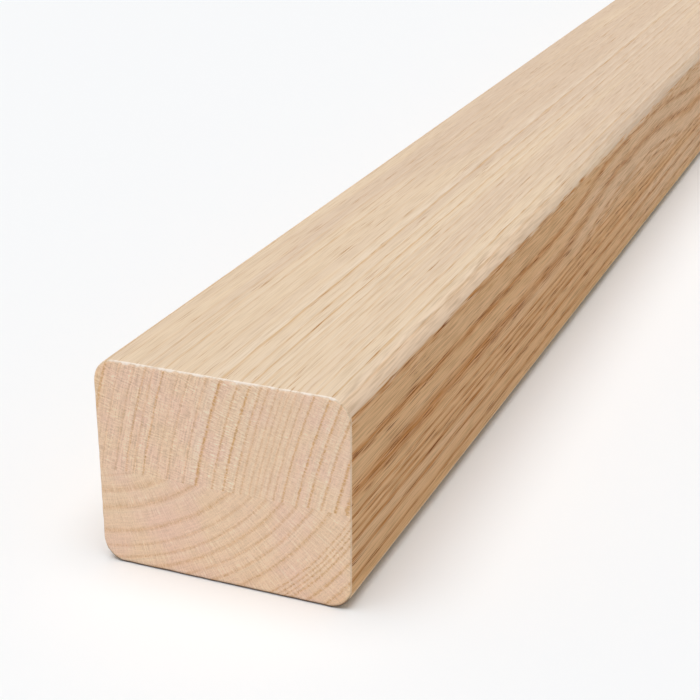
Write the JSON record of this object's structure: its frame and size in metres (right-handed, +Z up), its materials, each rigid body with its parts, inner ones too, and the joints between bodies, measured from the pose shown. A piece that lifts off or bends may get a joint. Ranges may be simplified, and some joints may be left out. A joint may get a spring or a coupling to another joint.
{
  "type": "handrail",
  "caption": "Straight rectangular timber handrail for stairs, glued up from two boards, with rounded long edges and square-cut eased ends.",
  "frame": {"origin": "middle of the flat underside, halfway along the rail", "axes": "+Y along the rail, +X across it, +Z up from the underside to the grip surface"},
  "size_m": [0.055, 1, 0.045],
  "materials": {
    "upper_board_timber": "pale ring-porous hardwood, planed and sanded, clear satin oil",
    "lower_board_timber": "pale ring-porous hardwood, planed and sanded, clear satin oil"
  },
  "bodies": {
    "root": {"upper_board": "upper_board_timber", "lower_board": "lower_board_timber"}
  },
  "joints": []
}
